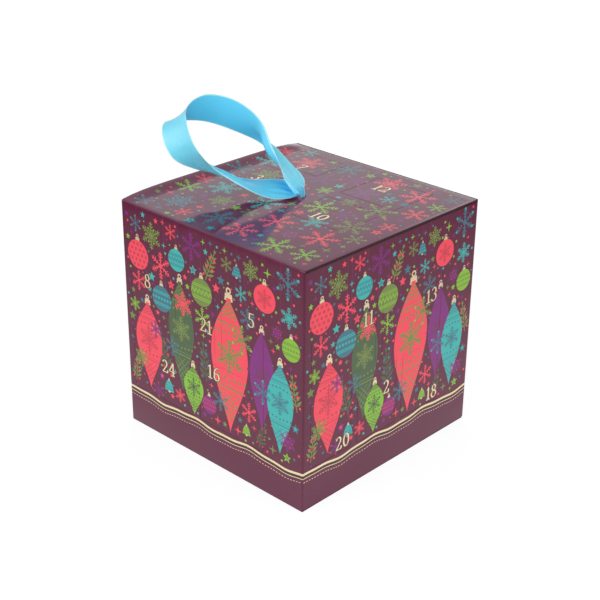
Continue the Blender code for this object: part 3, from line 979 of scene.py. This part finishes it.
for turns, (wall, numbers) in enumerate(wall_door_numbers.items()):
    signs = corner_signs[turns]
    wall_corner = Vector((signs[0] * half_width, signs[1] * half_depth, 0.0))
    wall_place = Matrix.Translation(wall_corner) @ Matrix.Rotation(turns * math.pi / 2, 4, "Z")
    wall_layers = list(wall_picture)
    for number in numbers:
        across, up = wall_number_shares[number]
        write_number(wall_layers, number, (across * wall_width, up * carton_height))
    if wall == "front":
        wall_edges = (0.0, wall_width, 0.0, carton_height)
        wall_folds = (True, True, True, True)
    else:
        wall_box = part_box(wall + "_panel")
        wall_edges = (0.0, wall_width, wall_box[0].z, wall_box[1].z)
        wall_folds = (True, True, False, False)
        # Painted shade: a dark strip at the wall's top edge, for the shadow in the seam under the top.
        painted_seam_shade = rectangle(0.0, wall_width, wall_box[1].z - seam_shade_height, carton_height)
        wall_layers.append(("dark", painted_seam_shade, None))
    print_panel(wall + "_panel", wall_place, wall_layers, wall_edges, wall_folds, numbers)


# The top: folded over from the front wall, cut at its sides, and tucked in behind the back wall. It has
# four doors and a round hole for the ribbon, and a picture of snowflakes and stars.
top_fills = (
    ("flake", 0.072, 0.006, 500, (2, 1, 0, 3)),
    ("flake", 0.056, 0.005, 500, (1, 2, 0)),
    ("flake", 0.040, 0.004, 600, (0, 2, 1)),
    ("star", 0.026, 0.004, 600, (6, 5, 4)),
    ("star", 0.016, 0.004, 600, (5, 4)),
    ("dot", 0.0060, 0.004, 500, (0,)),
    ("dot", 0.0035, 0.004, 600, (0,)),
)
top_number_shares = {3: (0.200, 0.560), 7: (0.240, 0.780), 10: (0.680, 0.420), 12: (0.650, 0.820)}
top_picture_area = (0.015, 0.985, 0.015, 0.980)
hole_steps = 36
ribbon_hole = Vector((-0.00495, 0.00495, carton_height))
ribbon_hole_radius = 0.0046
# Its left edge isn't glued down, and has sprung up between the fold and the tuck: height and reach.
top_lift = (0.0032, 0.0148)
top_width = 2 * half_width
top_depth = 2 * half_depth


def flat_place(way, height):
    """Where a sheet lies flat, with its picture up (way 1) or down (way -1)."""
    return Matrix((
        (1.0, 0.0, 0.0, -half_width),
        (0.0, 0.0, way, -way * half_depth),
        (0.0, -way, 0.0, height),
        (0.0, 0.0, 0.0, 1.0),
    ))


top_layers = paint((), top_fills, top_width, top_depth, top_picture_area, start=0.11)
top_layers.insert(0, ("top_ground", rectangle(0.0, top_width, 0.0, top_depth), None))
for number, (across, back) in top_number_shares.items():
    write_number(top_layers, number, (across * top_width, back * top_depth))
hole_spot = (ribbon_hole.x + half_width, ribbon_hole.y + half_depth)
top_low, top_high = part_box("top_panel")
print_panel(
    "top_panel",
    flat_place(1.0, carton_height),
    top_layers,
    edges=(top_low.x + half_width, top_high.x + half_width, 0.0, top_high.y + half_depth),
    folds=(False, False, True, True),
    door_numbers=tuple(top_number_shares),
    holes=[ring_of(hole_spot, ribbon_hole_radius, hole_steps)],
    lift=top_lift,
)


# The base: the same board, folded over from the front wall, in the border's colour with no picture. It is
# cut at its sides, and the flaps of the other three walls are glued down on it.
base_low, base_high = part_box("base_panel")
base_edges = (
    base_low.x + half_width,
    base_high.x + half_width,
    half_depth - base_high.y,
    2 * half_depth,
)
base_layers = [("band", rectangle(*base_edges), None)]
print_panel("base_panel", flat_place(-1.0, 0.0), base_layers, base_edges, (False, False, False, True), ())


# Inside the board: flaps folded in from the walls under the top and over the base, the glue flap that
# closes the ring of walls, and the square tube of card that backs the trays.
flap_edge = 0.00020
core_edge = 0.00030
flap_smooth_angle = math.radians(30)
fleck_scale = 260.0
fleck_range = (0.36, 0.56)
weld_distance = 1e-6
flat_angle = math.radians(0.5)


def fleck_board(name, colour, fleck):
    """Recycled card: a pale pulp with darker flecks in it."""
    material = make_board(name, colour)
    tree = material.node_tree
    places = add_node(tree, "TexCoord").outputs["Object"]
    pulp = add_node(tree, "TexNoise", Vector=places, Scale=fleck_scale, Detail=8.0).outputs["Fac"]
    shades = add_node(tree, "ValToRGB", Fac=pulp)
    for element, place, light in zip(shades.color_ramp.elements, fleck_range, (fleck, 1.0)):
        element.position = place
        element.color = (*[light * channel for channel in colour], 1.0)
    feed(tree.nodes["Principled BSDF"], Base_Color=shades.outputs["Color"])
    return material


def eased_copy(node, material, smooth_angle, edge):
    """A CAD node's own shape with its seams welded, its curves shaded round and its sharp edges eased."""
    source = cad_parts[node]
    shape = bmesh.new()
    shape.from_mesh(source.data)
    shape.transform(source.matrix_world)
    bmesh.ops.remove_doubles(shape, verts=shape.verts, dist=weld_distance)
    bmesh.ops.dissolve_limit(shape, angle_limit=flat_angle, verts=shape.verts, edges=shape.edges)
    for face in shape.faces:
        face.smooth = True
        face.material_index = 0
    piece = finished(shape, node + "_form", [material], smooth_angle)
    if edge:
        easing = piece.modifiers.new("eased_edges", "BEVEL")
        easing.width = edge
        easing.segments = 2
        easing.limit_method = "ANGLE"
        easing.angle_limit = smooth_angle
        easing.harden_normals = True
    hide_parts(node)
    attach(piece, "carton")
    return piece


flap_card = fleck_board("flap_card", (0.66, 0.63, 0.58), 0.86)
core_card = fleck_board("core_card", (0.60, 0.55, 0.47), 0.80)
flaps = ("corner_glue_flap", "tuck_flap", "right_top_flap", "left_top_flap")
base_flaps = ("right_base_flap", "back_base_flap", "left_base_flap")
for node in flaps + base_flaps:
    eased_copy(node, flap_card, flap_smooth_angle, flap_edge)
eased_copy("core_tube", core_card, flap_smooth_angle, core_edge)


# The trays: white sheet, drawn by vacuum into a round-cornered cup behind each door. One stands behind
# each wall, and two lie under the top, one each side of the ribbon's knot.
tray_relief = ((30.0, 2.0, 0.0012, 0.22), (900.0, 2.0, 0.00005, 0.20))
tray_gloss = (120.0, 0.26, 0.42)
tray_smooth_angle = math.radians(35)
tray_plastic = textured(
    "tray_plastic",
    (0.80, 0.80, 0.78),
    tray_relief,
    tray_gloss,
    Subsurface_Weight=0.12,
    Subsurface_Radius=(0.002, 0.002, 0.0015),
    Subsurface_Scale=1.0,
)
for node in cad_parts:
    if node.endswith("_tray"):
        eased_copy(node, tray_plastic, tray_smooth_angle, 0.0)


# The ribbon: one length of 25 mm single-face satin. It comes up through the hole gathered into pleats,
# opens flat, turns over at the far end of its loop and goes back down beside where it came up.
ribbon_width = 0.025
ribbon_thickness = 0.0003
ribbon_reach = 0.110
gather_width = 0.0050
gather_lengths = (0.020, 0.016)
pleat_count = 4
pleat_depth = 0.0015
soft_pleat_depth = 0.0008
soft_pleat_length = 0.022
# Where the first pleat lies at the ends, and how far the pleats drift aside along the ribbon, as angles.
pleat_start = 0.7
pleat_drift = 14.0
# Where the satin rolls over as it turns: share of the length, reach along it, depth and slant of the roll.
# A roll makes it look narrower, by this share for each metre of the roll's depth.
satin_rolls = ((0.174, 0.017, 0.0050, 0.006), (0.765, 0.018, 0.0030, 0.0))
roll_narrowing = 48.0
# Where it dips in the middle, under the strand above it: length from its end, reach and depth.
satin_dip = (0.013, 0.008, 0.0036)
# Its slight bow from edge to edge, and the faint waves along it: depth, pace along it and pace across it.
bow_depth = 0.0009
faint_waves = (0.0004, 60.0, 3.0)
selvedge_share = 0.035
steps_per_span = 14
inner_columns = 22
satin_sharp_angle = math.radians(50)
# The satin's floats and ribs: their texture's scale in a ribbon's width, and the strength and depth of
# their relief. Then how far the satin's roughness strays from its mean.
float_scale = (90.0, 5.0, 1.0)
float_relief = (0.35, 0.00012)
satin_rib_scale = 18.0
selvedge_rib_scale = 26.0
rib_relief = (0.25, 0.00008)
roughness_spread = 0.08
# Where its middle runs from the hole: along towards the front left corner, aside towards the front right
# corner, and up. Then the way its width points, in the same three directions.
ribbon_route_shares = (
    (0.000, -0.004, -0.022, -0.73, -0.65, -0.22),
    (0.000, 0.000, 0.022, -0.73, -0.65, -0.22),
    (0.064, -0.102, 0.143, -0.41, -0.91, -0.08),
    (0.188, -0.196, 0.265, -0.06, -0.81, -0.53),
    (0.319, -0.292, 0.407, 0.27, -0.54, -0.79),
    (0.522, -0.348, 0.514, 0.42, -0.12, -0.90),
    (0.724, -0.322, 0.560, 0.44, -0.15, -0.88),
    (0.893, -0.158, 0.534, 0.75, -0.24, -0.61),
    (0.859, -0.035, 0.369, 0.69, -0.25, -0.68),
    (0.722, 0.007, 0.249, 0.40, -0.71, -0.59),
    (0.537, 0.015, 0.158, 0.13, -0.96, -0.20),
    (0.352, -0.002, 0.080, 0.02, -1.00, 0.10),
    (0.182, -0.007, 0.050, -0.11, -0.96, 0.34),
    (0.012, -0.010, 0.044, -0.27, -0.95, 0.15),
    (0.000, -0.002, -0.022, -0.27, -0.95, -0.05),
)


def from_loop(along, aside, up):
    """From the loop's own directions to the world's."""
    return Vector(((aside - along) / math.sqrt(2), (-along - aside) / math.sqrt(2), up))


def smooth_row(rows, position):
    """A row between the rows of a table, on a smooth curve through all of them."""
    index = min(int(position), len(rows) - 2)
    share = position - index
    start, end = rows[index], rows[index + 1]
    before = rows[index - 1] if index > 0 else [2 * a - b for a, b in zip(start, end)]
    after = rows[index + 2] if index + 2 < len(rows) else [2 * b - a for a, b in zip(start, end)]
    row = []
    for a, b, c, d in zip(before, start, end, after):
        bend = 2 * a - 5 * b + 4 * c - d
        twist = 3 * b - 3 * c + d - a
        row.append(b + share * (c - a + share * (bend + share * twist)) / 2)
    return row


def satin(name, colour, roughness, rib_scale):
    """Woven satin: long floats that catch the light along the ribbon, over fine ribs across it."""
    material, tree, shader = new_material(name, colour)
    weave = add_node(tree, "UVMap").outputs["UV"]
    stretched = add_node(tree, "Mapping", Vector=weave, Scale=float_scale).outputs["Vector"]
    floats = add_node(tree, "TexNoise", Vector=stretched, Scale=1.0, Detail=3.0).outputs["Fac"]
    ribs = add_node(tree, "TexWave", Vector=weave, Scale=rib_scale)
    ribs.bands_direction = "Y"
    float_bump = add_node(tree, "Bump", Strength=float_relief[0], Distance=float_relief[1], Height=floats)
    rib_bump = add_node(tree, "Bump", Strength=rib_relief[0], Distance=rib_relief[1])
    feed(rib_bump, Height=ribs.outputs["Fac"], Normal=float_bump.outputs["Normal"])
    run = add_node(tree, "Tangent")
    run.direction_type = "UV_MAP"
    smoothest, roughest = roughness - roughness_spread, roughness + roughness_spread
    feed(
        shader,
        Normal=rib_bump.outputs["Normal"],
        Tangent=run.outputs["Tangent"],
        Roughness=graded(tree, floats, 0.0, 1.0, smoothest, roughest),
        Specular_IOR_Level=0.60,
        Anisotropic=0.55,
        Subsurface_Weight=0.35,
        Subsurface_Radius=(0.5, 0.6, 0.6),
        Subsurface_Scale=0.0015,
        Sheen_Weight=0.12,
        Sheen_Roughness=0.35,
    )
    return material


satin_face = satin("satin_face", (0.200, 0.745, 1.000), 0.28, satin_rib_scale)
# The back is coloured darker than the face, as painted shade for the inner side of the loop; its higher
# roughness is the duller weave of the satin's back.
satin_back = satin("satin_back", (0.120, 0.655, 1.000), 0.44, satin_rib_scale)
# The selvedges are coloured lighter than the face, as painted highlight along the ribbon's edges; their
# finer ribs are the woven edge's own.
satin_selvedge = satin("satin_selvedge", (0.42, 0.86, 1.00), 0.42, selvedge_rib_scale)

middles = []
ways = []
for step in range((len(ribbon_route_shares) - 1) * steps_per_span + 1):
    row = smooth_row(ribbon_route_shares, step / steps_per_span)
    middles.append(ribbon_hole + from_loop(*row[:3]) * ribbon_reach)
    ways.append(from_loop(*row[3:]).normalized())
lengths = [0.0]
for start, end in zip(middles, middles[1:]):
    lengths.append(lengths[-1] + (end - start).length)
ribbon_length = lengths[-1]
column_shares = [0.0]
for i in range(inner_columns + 1):
    column_shares.append(selvedge_share + (1 - 2 * selvedge_share) * i / inner_columns)
column_shares.append(1.0)

shape = bmesh.new()
ribbon_map = shape.loops.layers.uv.new("UVMap")
sides = ([], [])
last = len(middles) - 1
for i, middle in enumerate(middles):
    ahead = (middles[min(i + 1, last)] - middles[max(i - 1, 0)]).normalized()
    way = (ways[i] - ahead * ways[i].dot(ahead)).normalized()
    outward = ahead.cross(way).normalized()
    from_end = min(lengths[i], ribbon_length - lengths[i])
    nearer_end = 0 if lengths[i] < ribbon_length / 2 else 1
    opened = min(from_end / gather_lengths[nearer_end], 1.0)
    opened = opened * opened * (3 - 2 * opened)
    width = gather_width + (ribbon_width - gather_width) * opened
    depth = pleat_depth * (1 - opened) + soft_pleat_depth * math.exp(-from_end / soft_pleat_length)
    for roll_share, roll_reach, roll_depth, _ in satin_rolls:
        from_roll = (lengths[i] - roll_share * ribbon_length) / roll_reach
        width *= 1 - roll_narrowing * roll_depth * math.exp(-from_roll ** 2)
    dip_place, dip_reach, dip_depth = satin_dip
    dip = dip_depth * math.exp(-((ribbon_length - lengths[i] - dip_place) / dip_reach) ** 2)
    rows = ([], [])
    for share in column_shares:
        pleat_turn = 2 * math.pi * pleat_count * share + pleat_start + pleat_drift * from_end / ribbon_length
        pleat = depth * math.sin(pleat_turn)
        pleat -= dip * (1 - (2 * share - 1) ** 2)
        for roll_share, roll_reach, roll_depth, roll_slant in satin_rolls:
            roll_middle = roll_share * ribbon_length + roll_slant * (0.5 - share)
            roll = roll_depth * math.exp(-((lengths[i] - roll_middle) / roll_reach) ** 2)
            pleat += roll * math.sin(2 * math.pi * share)
        bow = bow_depth * opened * (1 - (2 * share - 1) ** 2)
        wave = faint_waves[0] * opened * math.sin(faint_waves[1] * lengths[i] + faint_waves[2] * share)
        spot = middle + way * width * (share - 0.5) + outward * (pleat + bow + wave)
        rows[0].append(shape.verts.new(spot + outward * ribbon_thickness / 2))
        rows[1].append(shape.verts.new(spot - outward * ribbon_thickness / 2))
    sides[0].append(rows[0])
    sides[1].append(rows[1])
columns = len(column_shares) - 1
for side, rows in enumerate(sides):
    for i in range(last):
        near, far = rows[i], rows[i + 1]
        for j in range(columns):
            face = shape.faces.new((near[j], near[j + 1], far[j + 1], far[j]))
            face.material_index = 2 if j in (0, columns - 1) else 1 - side
            for loop, (across, along) in zip(face.loops, ((j, i), (j + 1, i), (j + 1, i + 1), (j, i + 1))):
                loop[ribbon_map].uv = (column_shares[across], lengths[along] / ribbon_width)
rims = [[[row[edge] for row in rows] for rows in sides] for edge in (0, columns)]
rims += [[rows[end] for rows in sides] for end in (0, last)]
for face_rim, back_rim in rims:
    for j in range(len(face_rim) - 1):
        corners = (face_rim[j], face_rim[j + 1], back_rim[j + 1], back_rim[j])
        shape.faces.new(corners).material_index = 2
for face in shape.faces:
    face.smooth = True
bmesh.ops.recalc_face_normals(shape, faces=shape.faces)
ribbon_finishes = (satin_face, satin_back, satin_selvedge)
satin_ribbon = finished(shape, "satin_ribbon", ribbon_finishes, satin_sharp_angle)
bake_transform(satin_ribbon)
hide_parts("ribbon_loop")

# The ribbon's knot: under the top, both ends of the same satin are tied into a tight knot, too thick for
# the hole, and the two cut ends hang below it.
knot_smooth_angle = math.radians(40)
eased_copy("ribbon_knot", satin_face, knot_smooth_angle, 0.0)
